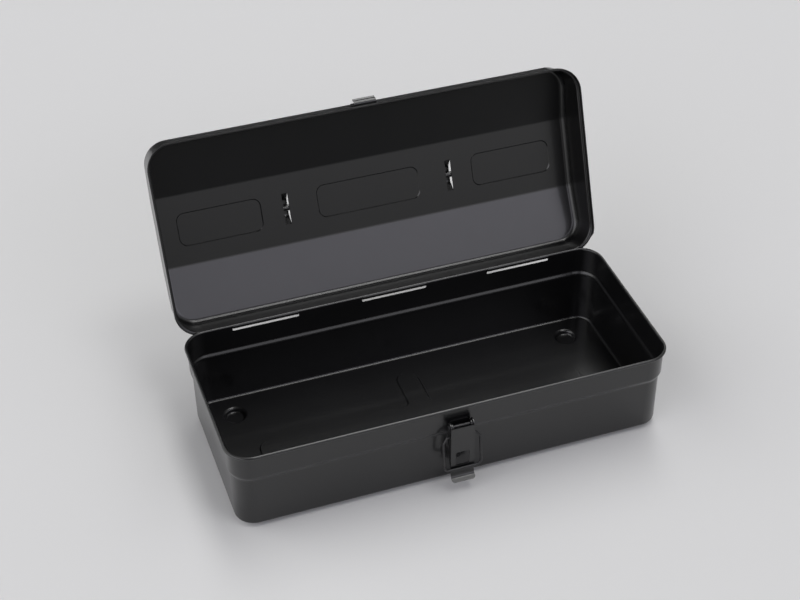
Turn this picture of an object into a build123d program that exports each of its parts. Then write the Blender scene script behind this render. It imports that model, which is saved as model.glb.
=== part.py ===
from build123d import *
import math
import os

# A small pressed steel tool box with a camber lid, shown open.
# Sizes are in millimetres. The origin is the centre of the underside, +X is to the right, the
# latch side faces -Y and +Z is up. The lid and its fittings are made closed, then turned open.
# Latch points are written as (out, up): the distance out along -Y, and the height.

# Sheet, plate and wire
SHEET = 0.6
PLATE = 0.8
HOOK_PLATE = 0.9
LOOP_WIRE = 1.0
HANDLE_ROD = 2.4

# Body, outside sizes of its upper band
WALL_LENGTH = 353.0
WALL_DEPTH = 149.8
WALL_CORNER = 17.7
BODY_HEIGHT = 76.4
CURL_RADIUS = 1.3
CURL_TURN = 290.0
STEP_DROP = 21.6
STEP_HEIGHT = 3.3
STEP_IN = 1.9
STEP_BLEND = 4.0
FLOOR_BLEND = 2.8

# Pressed feet, and the raised cross that stiffens the floor
FOOT_HEIGHT = 3.6
FOOT_RADIUS = 9.0
PAD_RADIUS = 7.3
FOOT_BEND = 2.0
FOOT_FROM_END = 29.1
FOOT_FROM_SIDE = 22.7
PRESS_ANGLE = 45.0
CROSS_RISE = 1.0
CROSS_LENGTH = 276.0
CROSS_BAND = 23.4
CROSS_DEPTH = 104.0
CROSS_RIB = 19.0
CROSS_END = 9.0
CROSS_INSIDE = 6.0

# Hinge: tongues of the lid hook through slots and turn on the rolled rim
HINGE_SPACE = 108.5
HINGE_COUNT = 3
TONGUE_LENGTH = 54.0
TONGUE_TURN = 115.0
SLOT_SIDE_GAP = 0.5
SLOT_HEIGHT = 3.8
SLOT_BELOW_RIM = 0.5
SLOT_CORNER = 1.0
OPEN_ANGLE = 112.0

# Lid
LID_GAP = 0.4
LEDGE_WIDTH = 2.0
SKIRT_DROP = 2.1
WALL_TO_CREASE = 27.4
CAMBER_RISE = 8.5
TOP_WIDTH = 58.0
ROOF_BLEND = 5.0
CREASE_BLEND = 10.0
SKIRT_BLEND = 1.2
LEDGE_BLEND = 0.5
TRIM_UP = 0.5
TRIM_START = 11.0
TRIM_END = 7.0

# Plain stiffening fields in the lid's top
FIELD_RISE = 0.8
FIELD_WIDTH = 28.0
FIELD_LENGTHS = (70.0, 88.0, 70.0)
FIELD_SPACE = 125.0
FIELD_CORNER = 7.0

# Handle and the two bridges that hold it
HANDLE_GAP = 0.4
BRIDGE_SPACE = 140.0
BRIDGE_WIDTH = 5.0
BRIDGE_SPAN = 26.0
BRIDGE_TOP = 13.2
BRIDGE_BLEND = 2.5
HANDLE_TAIL = 9.0
HANDLE_OFFSET = 9.0
HANDLE_LEG = 45.0
HANDLE_EYE_BEND = 6.0
HANDLE_GRIP_BEND = 14.0

# Latch plate, lever and pin
PIN_OUT = 5.1
PIN_ABOVE_STEP = 8.0
PIN_RADIUS = 1.25
PIN_HEAD = 2.1
HEAD_THICKNESS = 0.6
FIT = 0.05
SIDE_PLAY = 0.2
PLATE_WIDTH = 16.0
PLATE_ABOVE_PIN = 2.0
PLATE_BELOW_RIVET = 5.0
PLATE_CORNER = 2.5
EAR_RADIUS = 2.9
EAR_ROOT_TOP = 4.2
RIVET_ABOVE_STEP = 3.6
RIVET_BELOW_STEP = 24.8
RIVET_RADIUS = 1.5
RIVET_HEAD = 2.5
RIVET_HEAD_HEIGHT = 0.9
RIVET_EDGE = 0.4
LEVER_WIDTH = 19.0
LEVER_OUT = 4.0
LEVER_LENGTH = 45.5
LEVER_SHOULDER = 14.0
LEVER_IN = 3.9
CHEEK_DEEP = 14.5
CHEEK_SLOPE = 9.0
CHEEK_SHALLOW = 12.0
CHEEK_END = 5.0
CHEEK_NARROW = 0.5
TAB_RADIUS = 4.0
TAB_TURN = 65.0
TAB_LIP = 3.0
TAB_CORNER = 2.5
WINDOW_BELOW_PIN = 30.5
WINDOW_WIDTH = 11.0
WINDOW_HEIGHT = 13.4
WINDOW_CORNER = 1.5

# Latch loop
LOOP_PIVOT_OUT = 1.0
LOOP_PIVOT_BELOW = 9.0
LOOP_FIT = 0.1
LOOP_TAIL = 0.7
LOOP_NECK = 2.0
LOOP_FLARE = 3.5
LOOP_FLARE_RUN = 5.0
LOOP_EYE_BEND = 1.6
LOOP_FLARE_BEND = 3.0
LOOP_CORNER = 4.0
LATCH_GAP = 0.3

# Hook plate on the lid
HOOK_WIDTH = 18.0
HOOK_ABOVE_RIM = 8.8
HOOK_INSIDE = 1.7
HOOK_TOP = 13.1
HOOK_LIP = 1.1
HOOK_FLARE_UP = 2.0
HOOK_FLARE_OUT = 1.2
HOOK_FLARE_BEND = 1.5
HOOK_CORNER = 2.0
HOOK_RIVET_SPACE = 10.0
HOOK_RIVET_UP = 8.1
HOOK_RIVET_RADIUS = 1.25
HOOK_RIVET_HEAD = 2.2

# How close two heights must be to count as one
TOUCH = 0.01

# Worked out from the sizes above
RIM_Z = BODY_HEIGHT - CURL_RADIUS
STEP_TOP = RIM_Z - STEP_DROP
STEP_FOOT = STEP_TOP - STEP_HEIGHT
CURL_OUT = CURL_RADIUS - SHEET
RIM_OUT = CURL_OUT + CURL_RADIUS
HINGE_Y = WALL_DEPTH / 2 + CURL_OUT
HINGE_LINE = Axis((0, HINGE_Y, RIM_Z), (1, 0, 0))
HINGE_PLACES = [HINGE_SPACE * (i - (HINGE_COUNT - 1) / 2) for i in range(HINGE_COUNT)]
SKIRT_OUT = RIM_OUT + LID_GAP + SHEET
LID_WALL_OUT = SKIRT_OUT - LEDGE_WIDTH
SKIRT_FOOT = RIM_Z - SKIRT_DROP
LEDGE_TOP = BODY_HEIGHT + LID_GAP + SHEET
CREASE_Z = RIM_Z + WALL_TO_CREASE
ROOF_Z = CREASE_Z + CAMBER_RISE
HANDLE_Z = ROOF_Z + HANDLE_GAP + HANDLE_ROD
FRONT = WALL_DEPTH / 2
PIN = Vector(FRONT + PIN_OUT, STEP_TOP + PIN_ABOVE_STEP)
LOOP_PIVOT = PIN + Vector(LOOP_PIVOT_OUT, -LOOP_PIVOT_BELOW)
HIGH_RIVET = Vector(FRONT, STEP_TOP + RIVET_ABOVE_STEP)
LOW_RIVET = Vector(FRONT - STEP_IN, STEP_FOOT - RIVET_BELOW_STEP)
CHEEK_IN = LEVER_WIDTH / 2 - PLATE
HOOK_FACE = FRONT + LID_WALL_OUT + HOOK_PLATE
HOOK_CENTRE = Vector(HOOK_FACE + HOOK_INSIDE, RIM_Z + HOOK_ABOVE_RIM)
LATCHED_BAR = HOOK_CENTRE - Vector(0, HOOK_INSIDE - LOOP_WIRE - LATCH_GAP)
LOOP_LENGTH = (LATCHED_BAR - LOOP_PIVOT).length
SIDE = Plane(origin=(0, 0, 0), x_dir=(0, -1, 0), z_dir=(-1, 0, 0))


def plan(out, height):
    """Plan outline at a height, the body's upper band moved out by a distance."""
    outline = RectangleRounded(WALL_LENGTH + 2 * out, WALL_DEPTH + 2 * out, WALL_CORNER + out)
    return Plane.XY.offset(height) * outline


def edges_at(shape, height):
    """Edges that lie level at one height."""
    return shape.edges().filter_by_position(Axis.Z, height - TOUCH, height + TOUCH)


def prism(section, width, plane=SIDE):
    """A section in the side view, made as wide as wanted about the middle."""
    return extrude(plane * section, width / 2, both=True)


def sector(centre, inner, outer, start, turn):
    """A piece of a flat ring, from a start angle through a turn in degrees."""
    outside = CenterArc(centre, outer, start, turn)
    inside = CenterArc(centre, inner, start, turn)
    ends = [Line(outside @ 1, inside @ 1), Line(outside @ 0, inside @ 0)]
    return make_face([outside, inside] + ends)


def bent_strip(path, thickness, side):
    """Section of a bent strip, thickened to one side of its path."""
    return make_face(Wire(path).offset_2d(thickness, side=side, closed=True).edges())


def pressed(shell, plane, outline, depth):
    """Press a flat-topped form out of the sheet, along the normal of the face it rises from."""
    bend = SHEET * math.tan(math.radians(PRESS_ANGLE / 2))
    form = extrude(plane * outline(0), depth, taper=PRESS_ANGLE)
    hollow = extrude(plane.offset(-SHEET) * outline(-bend), depth, taper=PRESS_ANGLE)
    return shell + form - hollow


def rivet(face_out, face_in, height, x, radius, head, head_height):
    """A rivet through a front wall, with a head outside and one inside."""
    along = Plane(origin=(x, 0, height), x_dir=(1, 0, 0), z_dir=(0, -1, 0))
    shank = extrude(along.offset(face_in) * Circle(radius), face_out - face_in)
    outer = extrude(along.offset(face_out) * Circle(head), head_height)
    outer = chamfer(outer.edges().sort_by(Axis.Y)[0], RIVET_EDGE)
    inner = extrude(along.offset(face_in) * Circle(head), -head_height)
    return shank + outer + inner


def rivet_hole(height, x, radius):
    """Cutter for a rivet's hole in a front wall."""
    along = Plane(origin=(x, 0, height), x_dir=(1, 0, 0), z_dir=(0, -1, 0))
    return extrude(along.offset(FRONT - RIM_OUT - STEP_IN) * Circle(radius), 2 * PIN_OUT)


# Body


def tub():
    """Outside of the tub: lower band, pressed step and upper band."""
    lower = extrude(plan(-STEP_IN, FOOT_HEIGHT), STEP_FOOT - FOOT_HEIGHT)
    flare = loft([plan(-STEP_IN, STEP_FOOT), plan(0, STEP_TOP)], ruled=True)
    upper = extrude(plan(0, STEP_TOP), RIM_Z - STEP_TOP)
    solid = lower + flare + upper
    solid = fillet(edges_at(solid, STEP_TOP), STEP_BLEND)
    solid = fillet(edges_at(solid, STEP_FOOT), STEP_BLEND)
    return fillet(edges_at(solid, FOOT_HEIGHT), FLOOR_BLEND)


def rolled_rim():
    """The rim curled outward round its own centre line, with its end left open."""
    path = plan(CURL_OUT, RIM_Z).wire()
    along = path % 0
    outward = along.cross(Vector(0, 0, 1))
    start = Plane(origin=path @ 0, x_dir=outward, z_dir=-along)
    return sweep(start * sector((0, 0), CURL_OUT, CURL_RADIUS, 180, -CURL_TURN), path)


def foot():
    """Round foot pressed down out of the floor, with a bend at its pad and one at the floor."""
    path = FilletPolyline(
        (0, 0),
        (PAD_RADIUS, 0),
        (FOOT_RADIUS, FOOT_HEIGHT),
        (FOOT_RADIUS + FOOT_BEND, FOOT_HEIGHT),
        radius=FOOT_BEND,
    )
    return revolve(Plane.XZ * bent_strip(path, SHEET, Side.LEFT), Axis.Z)


def floor_cross(grow):
    """Outline of the raised cross: a long band and a rib across it."""
    band = RectangleRounded(CROSS_LENGTH + 2 * grow, CROSS_BAND + 2 * grow, CROSS_END + grow)
    rib = RectangleRounded(CROSS_RIB + 2 * grow, CROSS_DEPTH + 2 * grow, CROSS_END + grow)
    cross = band + rib
    inside = cross.vertices().sort_by_distance((0, 0, 0))[:4]
    return fillet(inside, CROSS_INSIDE - grow)


def body_shell():
    solid = tub()
    shell = offset(solid, amount=-SHEET, openings=solid.faces().sort_by(Axis.Z)[-1])
    shell += rolled_rim()
    foot_x = WALL_LENGTH / 2 - STEP_IN - FOOT_FROM_END
    foot_y = WALL_DEPTH / 2 - STEP_IN - FOOT_FROM_SIDE
    for x in (-foot_x, foot_x):
        for y in (-foot_y, foot_y):
            shell -= Pos(x, y, FOOT_HEIGHT) * Cylinder(FOOT_RADIUS + FOOT_BEND, 4 * SHEET)
            shell += Pos(x, y, 0) * foot()
    shell = pressed(shell, Plane.XY.offset(FOOT_HEIGHT + SHEET), floor_cross, CROSS_RISE)
    slot_z = RIM_Z - SLOT_BELOW_RIM - SLOT_HEIGHT / 2
    slot = RectangleRounded(TONGUE_LENGTH + 2 * SLOT_SIDE_GAP, SLOT_HEIGHT, SLOT_CORNER)
    for x in HINGE_PLACES:
        behind = Plane(origin=(x, FRONT + SHEET / 4, slot_z), x_dir=(1, 0, 0), z_dir=(0, -1, 0))
        shell -= extrude(behind * slot, 2 * SHEET)
    shell -= rivet_hole(HIGH_RIVET.Y, 0, RIVET_RADIUS + FIT)
    shell -= rivet_hole(LOW_RIVET.Y, 0, RIVET_RADIUS + FIT)
    return shell


def latch_base():
    """Plate that follows the pressed step, with an ear on each side for the lever's pin."""
    path = FilletPolyline(
        (FRONT, PIN.Y + PLATE_ABOVE_PIN),
        (FRONT, STEP_TOP),
        (FRONT - STEP_IN, STEP_FOOT),
        (FRONT - STEP_IN, LOW_RIVET.Y - PLATE_BELOW_RIVET),
        radius=STEP_BLEND,
    )
    plate = prism(bent_strip(path, PLATE, Side.LEFT), PLATE_WIDTH)
    corners = plate.edges().filter_by(Axis.Y)
    plate = fillet(corners, PLATE_CORNER)
    root = FRONT + PLATE / 2
    neck = Line((root, PIN.Y - EAR_ROOT_TOP), (root, STEP_TOP))
    ear = make_hull([CenterArc(PIN, EAR_RADIUS, 0, 360), neck])
    ear_place = (PLATE_WIDTH - PLATE) / 2
    for x in (-ear_place, ear_place):
        plate += Pos(x, 0, 0) * prism(ear, PLATE)
    plate -= prism(Pos(PIN) * Circle(PIN_RADIUS + FIT), LEVER_WIDTH)
    plate -= rivet_hole(HIGH_RIVET.Y, 0, RIVET_RADIUS + FIT)
    plate -= rivet_hole(LOW_RIVET.Y, 0, RIVET_RADIUS + FIT)
    return plate


def base_rivets():
    places = (HIGH_RIVET, LOW_RIVET)
    return Compound([
        rivet(p.X + PLATE, p.X - SHEET, p.Y, 0, RIVET_RADIUS, RIVET_HEAD, RIVET_HEAD_HEIGHT)
        for p in places
    ])


def lever_pin():
    inner = LEVER_WIDTH / 2 + SIDE_PLAY
    pin = prism(Pos(PIN) * Circle(PIN_RADIUS), 2 * inner)
    head = prism(Pos(PIN) * Circle(PIN_HEAD), HEAD_THICKNESS)
    for x in (-inner - HEAD_THICKNESS / 2, inner + HEAD_THICKNESS / 2):
        pin += Pos(x, 0, 0) * head
    return pin


# Lid


def lid_block():
    """Outside of the lid: stepped skirt, upright walls and a cambered roof."""
    half = WALL_DEPTH / 2 + LID_WALL_OUT
    section = make_face(Polyline(
        (-half, SKIRT_FOOT),
        (-half, CREASE_Z),
        (-TOP_WIDTH / 2, ROOF_Z),
        (TOP_WIDTH / 2, ROOF_Z),
        (half, CREASE_Z),
        (half, SKIRT_FOOT),
        close=True,
    ))
    section = fillet(section.vertices().group_by(Axis.Y)[-1], CREASE_BLEND)
    roof = prism(section, WALL_LENGTH + 2 * SKIRT_OUT, Plane.YZ)
    walls = extrude(plan(LID_WALL_OUT, SKIRT_FOOT), ROOF_Z - SKIRT_FOOT + SHEET)
    upper = walls & roof
    roof_edges = [e for e in upper.edges() if is_roof_edge(e, half)]
    upper = fillet(roof_edges, ROOF_BLEND)
    block = upper + extrude(plan(SKIRT_OUT, SKIRT_FOOT), LEDGE_TOP - SKIRT_FOOT)
    block = fillet(ledge(block).outer_wire().edges(), SKIRT_BLEND)
    return fillet(ledge(block).inner_wires()[0].edges(), LEDGE_BLEND)


def ledge(block):
    """The level face between the lid's skirt and its upright walls."""
    level = block.faces().filter_by(Axis.Z)
    return level.filter_by_position(Axis.Z, LEDGE_TOP - TOUCH, LEDGE_TOP + TOUCH)[0]


def is_roof_edge(edge, half):
    """True for the edges between the lid's roof and its upright walls."""
    place = edge.center()
    on_side = abs(place.X) < SHEET and abs(place.Y) < half - SHEET
    return edge.bounding_box().min.Z > CREASE_Z - SHEET and not on_side


def rear_trim():
    """Cutter that shortens the rear skirt, so that it turns clear of the rolled rim."""
    low = SKIRT_FOOT - SHEET
    return prism(make_face(Polyline(
        (HINGE_Y - TRIM_START, low),
        (HINGE_Y - TRIM_START, SKIRT_FOOT),
        (HINGE_Y - TRIM_END, RIM_Z + TRIM_UP),
        (HINGE_Y + TRIM_START, RIM_Z + TRIM_UP),
        (HINGE_Y + TRIM_START, low),
        close=True,
    )), WALL_LENGTH + 4 * SKIRT_OUT, Plane.YZ)


def tongue():
    """Hinge tongue, hooked round the rolled rim from the foot of the rear skirt."""
    near = CURL_RADIUS + LID_GAP
    hook = sector((HINGE_Y, RIM_Z), near, near + SHEET, 0, -TONGUE_TURN)
    root = Pos(HINGE_Y + near + SHEET / 2, RIM_Z + TRIM_UP) * Rectangle(SHEET, 2 * TRIM_UP)
    return prism(hook, TONGUE_LENGTH, Plane.YZ) + prism(root, TONGUE_LENGTH, Plane.YZ)


def bridge():
    """Strip lanced out of the lid's top and arched over the handle's rod."""
    foot_z = ROOF_Z - SHEET
    top_z = HANDLE_Z + HANDLE_ROD + HANDLE_GAP
    path = FilletPolyline(
        (-BRIDGE_SPAN / 2, foot_z),
        (-BRIDGE_TOP / 2, top_z),
        (BRIDGE_TOP / 2, top_z),
        (BRIDGE_SPAN / 2, foot_z),
        radius=BRIDGE_BLEND,
    )
    return prism(bent_strip(path, SHEET, Side.LEFT), BRIDGE_WIDTH, Plane.YZ)


def lid_shell():
    block = lid_block()
    shell = offset(block, amount=-SHEET, openings=block.faces().sort_by(Axis.Z)[0])
    shell -= rear_trim()
    for x in HINGE_PLACES:
        shell += Pos(x, 0, 0) * tongue()
    roof = Plane.XY.offset(ROOF_Z)
    for i, length in enumerate(FIELD_LENGTHS):
        place = Pos(FIELD_SPACE * (i - (len(FIELD_LENGTHS) - 1) / 2), 0)
        shell = pressed(shell, roof, lambda grow: place * field(length, grow), FIELD_RISE)
    opening = Box(BRIDGE_WIDTH, BRIDGE_SPAN, 4 * SHEET)
    for x in (-BRIDGE_SPACE / 2, BRIDGE_SPACE / 2):
        shell -= Pos(x, 0, ROOF_Z) * opening
        shell += Pos(x, 0, 0) * bridge()
    for x in (-HOOK_RIVET_SPACE / 2, HOOK_RIVET_SPACE / 2):
        shell -= rivet_hole(HOOK_CENTRE.Y + HOOK_RIVET_UP, x, HOOK_RIVET_RADIUS + FIT)
    return shell


def field(length, grow):
    return RectangleRounded(length + 2 * grow, FIELD_WIDTH + 2 * grow, FIELD_CORNER + grow)


def lid_catch():
    """Hook plate: a flat plate that turns up at its foot into a lip for the loop's bar."""
    down = Line((HOOK_FACE, HOOK_CENTRE.Y + HOOK_TOP), (HOOK_FACE, HOOK_CENTRE.Y))
    bowl = CenterArc(HOOK_CENTRE, HOOK_INSIDE, 180, 180)
    lip_start = bowl @ 1
    lip = FilletPolyline(
        lip_start,
        lip_start + Vector(0, HOOK_LIP),
        lip_start + Vector(HOOK_FLARE_OUT, HOOK_LIP + HOOK_FLARE_UP),
        radius=HOOK_FLARE_BEND,
    )
    path = Wire([down, bowl] + lip.edges())
    plate = prism(bent_strip(path, HOOK_PLATE, Side.RIGHT), HOOK_WIDTH)
    plate = fillet(edges_at(plate, HOOK_CENTRE.Y + HOOK_TOP).filter_by(Axis.Y), HOOK_CORNER)
    for x in (-HOOK_RIVET_SPACE / 2, HOOK_RIVET_SPACE / 2):
        plate -= rivet_hole(HOOK_CENTRE.Y + HOOK_RIVET_UP, x, HOOK_RIVET_RADIUS + FIT)
    return plate


def catch_rivets():
    height = HOOK_CENTRE.Y + HOOK_RIVET_UP
    inner = HOOK_FACE - HOOK_PLATE - SHEET
    return Compound([
        rivet(HOOK_FACE, inner, height, x, HOOK_RIVET_RADIUS, HOOK_RIVET_HEAD, HEAD_THICKNESS)
        for x in (-HOOK_RIVET_SPACE / 2, HOOK_RIVET_SPACE / 2)
    ])


# Moving pieces


def handle():
    """Bail of round rod, its ends turned in under the bridges, hanging from the open lid."""
    leg = BRIDGE_SPACE / 2 + HANDLE_OFFSET
    tail = BRIDGE_SPACE / 2 - HANDLE_TAIL
    path = FilletPolyline(
        (-tail, 0, HANDLE_Z),
        (-leg, 0, HANDLE_Z),
        (-leg, 0, HANDLE_Z - HANDLE_LEG),
        (leg, 0, HANDLE_Z - HANDLE_LEG),
        (leg, 0, HANDLE_Z),
        (tail, 0, HANDLE_Z),
        radius=[HANDLE_EYE_BEND, HANDLE_GRIP_BEND, HANDLE_GRIP_BEND, HANDLE_EYE_BEND],
    )
    start = Plane(origin=(-tail, 0, HANDLE_Z), z_dir=(-1, 0, 0))
    rod = sweep(start * Circle(HANDLE_ROD), path)
    pivot = opened(Vertex(0, 0, HANDLE_Z)).center()
    return Pos(pivot - Vector(0, 0, HANDLE_Z)) * rod


def latch_lever():
    """Channel lever on the pin, with a window in its face and a finger tab curled out below."""
    shoulder = CenterArc(PIN, LEVER_OUT, LEVER_SHOULDER, -LEVER_SHOULDER)
    tab_centre = PIN + Vector(LEVER_OUT + TAB_RADIUS, -LEVER_LENGTH)
    face = Line(shoulder @ 1, tab_centre - Vector(TAB_RADIUS, 0))
    curl = CenterArc(tab_centre, TAB_RADIUS, 180, TAB_TURN)
    lip = Line(curl @ 1, (curl @ 1) + (curl % 1) * TAB_LIP)
    path = Wire([shoulder, face, curl, lip])
    lever = prism(bent_strip(path, PLATE, Side.RIGHT), LEVER_WIDTH)
    inside = LEVER_OUT - PLATE / 2
    cheek = make_face(Polyline(
        PIN + Vector(-LEVER_IN, 0),
        PIN + Vector(-LEVER_IN, -CHEEK_DEEP),
        PIN + Vector(CHEEK_NARROW, -CHEEK_DEEP - CHEEK_SLOPE),
        PIN + Vector(CHEEK_NARROW, -CHEEK_DEEP - CHEEK_SLOPE - CHEEK_SHALLOW),
        PIN + Vector(inside, -CHEEK_DEEP - CHEEK_SLOPE - CHEEK_SHALLOW - CHEEK_END),
        PIN + Vector(inside, 0),
        close=True,
    ))
    cheek += Pos(PIN) * Circle(LEVER_OUT)
    cheek -= Pos(PIN) * Circle(PIN_RADIUS + FIT)
    cheek -= Pos(LOOP_PIVOT) * Circle(LOOP_WIRE + LOOP_FIT)
    place = CHEEK_IN + PLATE / 2
    for x in (-place, place):
        lever += Pos(x, 0, 0) * prism(cheek, PLATE)
    window = RectangleRounded(WINDOW_WIDTH, WINDOW_HEIGHT, WINDOW_CORNER)
    through = Plane(origin=(0, -PIN.X, PIN.Y - WINDOW_BELOW_PIN), x_dir=(1, 0, 0), z_dir=(0, -1, 0))
    lever -= extrude(through * window, 2 * LEVER_OUT)
    tip = lip @ 1
    corners = [e for e in lever.edges() if is_tab_corner(e, at_side(0, tip))]
    return fillet(corners, TAB_CORNER)


def is_tab_corner(edge, tip):
    """True for the two short edges across the sheet at the end of the finger tab."""
    away = edge.center() - tip
    return abs(edge.length - PLATE) < TOUCH and Vector(0, away.Y, away.Z).length < PLATE


def latch_loop():
    """Wire loop, its two ends sprung into the lever's cheeks, hanging against the lever."""
    rest_out = PIN.X + LEVER_OUT + LOOP_WIRE + LATCH_GAP - LOOP_PIVOT.X
    down = Vector(rest_out, -math.sqrt(LOOP_LENGTH ** 2 - rest_out ** 2)) / LOOP_LENGTH
    neck = LEVER_WIDTH / 2 + LOOP_NECK
    arm = neck + LOOP_FLARE
    side = [
        at_side(CHEEK_IN - LOOP_TAIL, LOOP_PIVOT),
        at_side(neck, LOOP_PIVOT),
        at_side(arm, LOOP_PIVOT + down * LOOP_FLARE_RUN),
        at_side(arm, LOOP_PIVOT + down * LOOP_LENGTH),
    ]
    other = [Vector(-p.X, p.Y, p.Z) for p in reversed(side)]
    radii = [LOOP_EYE_BEND, LOOP_FLARE_BEND, LOOP_CORNER]
    path = FilletPolyline(*side, *other, radius=radii + radii[::-1])
    start = Plane(origin=side[0], z_dir=(1, 0, 0))
    return sweep(start * Circle(LOOP_WIRE), path)


def at_side(x, point):
    """A latch point (out, up) as a point in space."""
    return Vector(x, -point.X, point.Y)


def opened(shape):
    """A piece made on the closed lid, turned with the lid to where it stands open."""
    return shape.rotate(HINGE_LINE, -OPEN_ANGLE)


pieces = {
    "body_shell": body_shell(),
    "latch_base": latch_base(),
    "base_rivets": base_rivets(),
    "lever_pin": lever_pin(),
    "lid_shell": opened(lid_shell()),
    "lid_catch": opened(lid_catch()),
    "catch_rivets": opened(catch_rivets()),
    "handle": handle(),
    "latch_lever": latch_lever(),
    "latch_loop": latch_loop(),
}

os.makedirs("parts", exist_ok=True)
for name, piece in pieces.items():
    export_step(piece, f"parts/{name}.step")
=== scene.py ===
import bmesh
import bpy
import math
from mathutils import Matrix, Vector

# A pressed steel tool box with a camber lid, standing open. Lengths are in metres.

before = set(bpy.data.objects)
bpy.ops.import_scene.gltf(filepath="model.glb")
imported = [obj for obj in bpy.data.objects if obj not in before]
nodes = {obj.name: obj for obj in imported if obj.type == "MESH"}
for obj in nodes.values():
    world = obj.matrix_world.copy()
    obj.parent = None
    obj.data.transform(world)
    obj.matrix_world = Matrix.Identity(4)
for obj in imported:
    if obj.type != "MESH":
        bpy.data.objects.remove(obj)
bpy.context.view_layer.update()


# Finishes

PLATED_NODES = ("base_rivets", "catch_rivets", "lever_pin", "latch_loop")

# The middle of a noise's range, spread over a finish's roughness and over its colours
ROUGHNESS_NOISE = (0.3, 0.7)
COLOUR_NOISE = (0.35, 0.65)

PAINT_DARK = (0.0026, 0.0026, 0.0029)
PAINT_LIGHT = (0.0038, 0.0038, 0.0042)
PAINT_ROUGHNESS = (0.30, 0.32)
PAINT_IOR = 1.50
PAINT_COAT = 0.4
PAINT_COAT_ROUGHNESS = 0.12

PLATING_DARK = (0.030, 0.030, 0.032)
PLATING_LIGHT = (0.045, 0.044, 0.044)
PLATING_ROUGHNESS = (0.24, 0.40)
PLATING_METALLIC = 0.6


def new_finish(name):
    """A material with its nodes, links and shader."""
    finish = bpy.data.materials.new(name)
    finish.use_nodes = True
    tree = finish.node_tree
    return finish, tree.nodes, tree.links, tree.nodes["Principled BSDF"]


def place_noise(tree_nodes, links, scale, detail, roughness=0.5):
    """A noise that stays with the piece, because it reads the piece's own coordinates."""
    place = tree_nodes.new("ShaderNodeTexCoord")
    noise = tree_nodes.new("ShaderNodeTexNoise")
    noise.inputs["Scale"].default_value = scale
    noise.inputs["Detail"].default_value = detail
    noise.inputs["Roughness"].default_value = roughness
    links.new(place.outputs["Object"], noise.inputs["Vector"])
    return noise.outputs["Fac"]


def spread(tree_nodes, links, source, low, high):
    """Stretch the middle of a noise's range onto the range that is wanted."""
    ramp = tree_nodes.new("ShaderNodeMapRange")
    ramp.inputs["From Min"].default_value = ROUGHNESS_NOISE[0]
    ramp.inputs["From Max"].default_value = ROUGHNESS_NOISE[1]
    ramp.inputs["To Min"].default_value = low
    ramp.inputs["To Max"].default_value = high
    links.new(source, ramp.inputs["Value"])
    return ramp.outputs["Result"]


def tint(tree_nodes, links, source, dark, light):
    """Colour that drifts a little from place to place."""
    ramp = tree_nodes.new("ShaderNodeValToRGB")
    for stop, position, colour in zip(ramp.color_ramp.elements, COLOUR_NOISE, (dark, light)):
        stop.position = position
        stop.color = (*colour, 1.0)
    links.new(source, ramp.inputs["Fac"])
    return ramp.outputs["Color"]


def bump(tree_nodes, links, height, strength, distance):
    """Bump from one noise."""
    relief = tree_nodes.new("ShaderNodeBump")
    relief.inputs["Strength"].default_value = strength
    relief.inputs["Distance"].default_value = distance
    links.new(height, relief.inputs["Height"])
    return relief


def baked_black_paint():
    """Semi-gloss baked paint: near black under a thin clear gloss, with the fine texture of sprayed enamel."""
    finish, tree_nodes, links, shader = new_finish("baked_black_paint")
    drift = place_noise(tree_nodes, links, scale=14.0, detail=4.0)
    links.new(tint(tree_nodes, links, drift, PAINT_DARK, PAINT_LIGHT), shader.inputs["Base Color"])
    patches = place_noise(tree_nodes, links, scale=60.0, detail=6.0, roughness=0.6)
    links.new(spread(tree_nodes, links, patches, *PAINT_ROUGHNESS), shader.inputs["Roughness"])
    shader.inputs["IOR"].default_value = PAINT_IOR
    shader.inputs["Coat Weight"].default_value = PAINT_COAT
    shader.inputs["Coat Roughness"].default_value = PAINT_COAT_ROUGHNESS
    grain = place_noise(tree_nodes, links, scale=2600.0, detail=3.0, roughness=0.55)
    waves = place_noise(tree_nodes, links, scale=320.0, detail=2.0)
    fine = bump(tree_nodes, links, grain, strength=0.05, distance=0.0002)
    peel = bump(tree_nodes, links, waves, strength=0.06, distance=0.0004)
    links.new(fine.outputs["Normal"], peel.inputs["Normal"])
    links.new(peel.outputs["Normal"], shader.inputs["Normal"])
    return finish


def blackened_steel():
    """Black plated steel of the rivets, the pin and the wire loop."""
    finish, tree_nodes, links, shader = new_finish("blackened_steel")
    drift = place_noise(tree_nodes, links, scale=180.0, detail=4.0)
    links.new(tint(tree_nodes, links, drift, PLATING_DARK, PLATING_LIGHT), shader.inputs["Base Color"])
    shader.inputs["Metallic"].default_value = PLATING_METALLIC
    patches = place_noise(tree_nodes, links, scale=700.0, detail=5.0, roughness=0.6)
    links.new(spread(tree_nodes, links, patches, *PLATING_ROUGHNESS), shader.inputs["Roughness"])
    grain = place_noise(tree_nodes, links, scale=3000.0, detail=2.0)
    fine = bump(tree_nodes, links, grain, strength=0.08, distance=0.0001)
    links.new(fine.outputs["Normal"], shader.inputs["Normal"])
    return finish


paint = baked_black_paint()
plated_steel = blackened_steel()
for name, node in nodes.items():
    finish = plated_steel if name in PLATED_NODES else paint
    for slot in node.material_slots:
        slot.material = finish


# Floor, light and camera

FLOOR_SHADE = (0.64, 0.64, 0.64, 1.0)
TABLE_HALF_SIZE = (0.95, 0.68, 1.0)
TABLE_CENTRE = (0, 0.28, 0)

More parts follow.
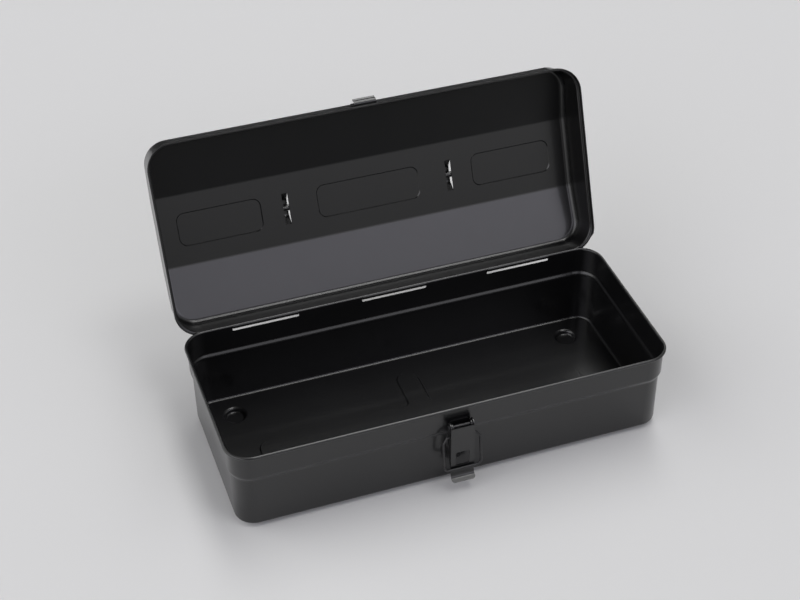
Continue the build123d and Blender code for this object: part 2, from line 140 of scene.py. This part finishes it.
# Light by the height of the direction: degrees above the horizon, and the light's level there
STRIP_LEVELS = (
    (-90, 0.02), (-10, 0.03), (0, 0.35), (8, 0.46), (18, 1.0),
    (27, 2.5), (32, 2.5), (39, 0.4), (60, 0.3),
)
SIDE_LEVELS = ((-90, 0.02), (0, 0.2), (12, 0.55), (30, 0.65), (90, 0.65))
LEFT_SIDE = 2.9
RIGHT_SIDE = 0.45
BANK_LEVEL = 5.5
WHOLE_LEVEL = 0.90
PLAIN_HUE = (1.005, 1.005, 1.0, 1.0)
COOL_HUE = (0.97, 0.955, 1.075, 1.0)

# Where the strip and the bank are centred, as the x of the direction
LIGHT_CENTRE = 0.22

# A small lamp, with its angles in degrees
LAMP_TURN = 39.0
LAMP_TILT = 68.0
LAMP_INNER = 4.0
LAMP_OUTER = 11.0
LAMP_LEVEL = 7.0

# The camera, with its angles in degrees, lens and sensor in millimetres
CAMERA_TURN = -19.82
CAMERA_TILT = 40.93
CAMERA_REACH = 1.300
CAMERA_TARGET = (0, 0, 0.060)
CAMERA_LENS = 74.17
CAMERA_SENSOR = 36.0
CAMERA_SHIFT = (-0.0317, 0.0764)


def table_top():
    """Pale table that the box stands on. It ends in front, just below the camera's view."""
    mesh = bpy.data.meshes.new("table_top")
    sheet = bmesh.new()
    bmesh.ops.create_grid(sheet, x_segments=1, y_segments=1, size=1.0)
    bmesh.ops.scale(sheet, vec=TABLE_HALF_SIZE, verts=sheet.verts)
    bmesh.ops.translate(sheet, vec=TABLE_CENTRE, verts=sheet.verts)
    sheet.to_mesh(mesh)
    sheet.free()
    table = bpy.data.objects.new("table_top", mesh)
    bpy.context.scene.collection.objects.link(table)
    finish, _, _, shader = new_finish("pale_table")
    shader.inputs["Base Color"].default_value = FLOOR_SHADE
    shader.inputs["Roughness"].default_value = 0.9
    shader.inputs["Specular IOR Level"].default_value = 0.0
    mesh.materials.append(finish)


def direction(turn, tilt):
    """Unit vector, turned to the right of the front and tilted up, in degrees."""
    turn, tilt = math.radians(turn), math.radians(tilt)
    return math.sin(turn) * math.cos(tilt), -math.cos(turn) * math.cos(tilt), math.sin(tilt)


class Sky:
    """Nodes that give the room's glow for each direction."""

    def __init__(self, tree):
        self.nodes, self.links = tree.nodes, tree.links
        self.nodes.clear()
        self.way = self.nodes.new("ShaderNodeTexCoord").outputs["Generated"]
        split = self.nodes.new("ShaderNodeSeparateXYZ")
        self.links.new(self.way, split.inputs["Vector"])
        self.x, self.y, self.z = split.outputs["X"], split.outputs["Y"], split.outputs["Z"]

    def result(self, operation, first, second):
        """What one operation makes of two values, each a number or the output of a node."""
        node = self.nodes.new("ShaderNodeMath")
        node.operation = operation
        for socket, value in zip(node.inputs, (first, second)):
            if isinstance(value, float):
                socket.default_value = value
            else:
                self.links.new(value, socket)
        return node.outputs["Value"]

    def total(self, first, *others):
        """All the values added, from left to right."""
        for other in others:
            first = self.result("ADD", first, other)
        return first

    def product(self, first, *others):
        """All the values multiplied, from left to right."""
        for other in others:
            first = self.result("MULTIPLY", first, other)
        return first

    def distance(self, source, centre):
        """How far the source is from the centre, to either side."""
        return self.result("ABSOLUTE", self.result("SUBTRACT", source, centre), 0.0)

    def step(self, source, start, end, before, after):
        """Smooth change of a level between two values of the source."""
        ramp = self.nodes.new("ShaderNodeMapRange")
        ramp.interpolation_type = "SMOOTHSTEP"
        ramp.inputs["From Min"].default_value = start
        ramp.inputs["From Max"].default_value = end
        ramp.inputs["To Min"].default_value = before
        ramp.inputs["To Max"].default_value = after
        self.links.new(source, ramp.inputs["Value"])
        return ramp.outputs["Result"]

    def spot(self, turn, tilt, inner, outer, level):
        """Round soft light about one direction, full inside one angle and gone at another."""
        dot = self.nodes.new("ShaderNodeVectorMath")
        dot.operation = "DOT_PRODUCT"
        dot.inputs[1].default_value = direction(turn, tilt)
        self.links.new(self.way, dot.inputs[0])
        edge, core = math.cos(math.radians(outer)), math.cos(math.radians(inner))
        return self.step(dot.outputs["Value"], start=edge, end=core, before=0.0, after=level)

    def heights(self, stops):
        """Level that changes only with the height of the direction."""
        lift = self.nodes.new("ShaderNodeMapRange")
        lift.inputs["From Min"].default_value = -1.0
        lift.inputs["From Max"].default_value = 1.0
        self.links.new(self.z, lift.inputs["Value"])
        ramp = self.nodes.new("ShaderNodeValToRGB")
        while len(ramp.color_ramp.elements) < len(stops):
            ramp.color_ramp.elements.new(0.5)
        highest = max(level for tilt, level in stops)
        for element, (tilt, level) in zip(ramp.color_ramp.elements, stops):
            element.position = 0.5 + 0.5 * math.sin(math.radians(tilt))
            element.color = (level / highest, level / highest, level / highest, 1.0)
        self.links.new(lift.outputs["Result"], ramp.inputs["Fac"])
        return self.result("MULTIPLY", ramp.outputs["Color"], highest)


def glow_level(sky):
    """Strip of light in front, soft light at both sides, a bright bank overhead, and a small lamp high in front."""
    strip = sky.product(
        sky.heights(STRIP_LEVELS),
        sky.step(sky.y, start=-0.15, end=0.25, before=1.0, after=0.04),
        sky.step(sky.distance(sky.x, LIGHT_CENTRE), start=0.20, end=0.50, before=1.0, after=0.25),
        sky.step(sky.x, start=0.05, end=0.40, before=0.85, after=1.15),
    )
    sides = sky.product(
        sky.heights(SIDE_LEVELS),
        sky.step(sky.distance(sky.x, 0.0), start=0.35, end=0.60, before=0.0, after=1.0),
        sky.step(sky.x, start=-0.5, end=0.5, before=LEFT_SIDE, after=RIGHT_SIDE),
    )
    bank = sky.product(
        sky.step(sky.distance(sky.x, LIGHT_CENTRE), start=0.09, end=0.19, before=BANK_LEVEL, after=0.0),
        sky.step(sky.y, start=-0.12, end=0.02, before=0.0, after=1.0),
        sky.step(sky.y, start=0.62, end=0.80, before=1.0, after=0.0),
        sky.step(sky.z, start=0.2, end=0.4, before=0.0, after=1.0),
    )
    lamp = sky.spot(LAMP_TURN, LAMP_TILT, LAMP_INNER, LAMP_OUTER, LAMP_LEVEL)
    return sky.product(sky.total(strip, sides, bank, lamp), WHOLE_LEVEL)


def glow_hue(sky):
    """Plain light, a little cooler in front at the strip's height."""
    cool = sky.product(
        sky.step(sky.z, start=0.26, end=0.45, before=0.0, after=1.0),
        sky.step(sky.y, start=-0.3, end=-0.1, before=1.0, after=0.0),
        sky.step(sky.z, start=0.60, end=0.72, before=1.0, after=0.0),
    )
    hue = sky.nodes.new("ShaderNodeMix")
    hue.data_type = "RGBA"
    hue.inputs["A"].default_value = PLAIN_HUE
    hue.inputs["B"].default_value = COOL_HUE
    sky.links.new(cool, hue.inputs["Factor"])
    return hue.outputs["Result"]


def room():
    """Studio light from all round. Past the table, the camera sees the table's shade."""
    world = bpy.data.worlds.new("room")
    bpy.context.scene.world = world
    world.use_nodes = True
    sky = Sky(world.node_tree)
    glow = sky.nodes.new("ShaderNodeBackground")
    sky.links.new(glow_level(sky), glow.inputs["Strength"])
    sky.links.new(glow_hue(sky), glow.inputs["Color"])
    seen = sky.nodes.new("ShaderNodeBackground")
    seen.inputs["Color"].default_value = FLOOR_SHADE
    ray = sky.nodes.new("ShaderNodeLightPath")
    mix = sky.nodes.new("ShaderNodeMixShader")
    sky.links.new(ray.outputs["Is Camera Ray"], mix.inputs["Fac"])
    sky.links.new(glow.outputs["Background"], mix.inputs[1])
    sky.links.new(seen.outputs["Background"], mix.inputs[2])
    out = sky.nodes.new("ShaderNodeOutputWorld")
    sky.links.new(mix.outputs["Shader"], out.inputs["Surface"])


def camera():
    """Camera at the photograph's angle: from the left of the front, looking down."""
    back = Vector(direction(CAMERA_TURN, CAMERA_TILT))
    lens = bpy.data.cameras.new("camera")
    lens.sensor_width = CAMERA_SENSOR
    lens.lens = CAMERA_LENS
    lens.shift_x, lens.shift_y = CAMERA_SHIFT
    holder = bpy.data.objects.new("camera", lens)
    bpy.context.scene.collection.objects.link(holder)
    holder.location = Vector(CAMERA_TARGET) + back * CAMERA_REACH
    holder.rotation_euler = (-back).to_track_quat("-Z", "Y").to_euler()
    bpy.context.scene.camera = holder


table_top()
room()
camera()
bpy.context.scene.view_settings.view_transform = "Standard"
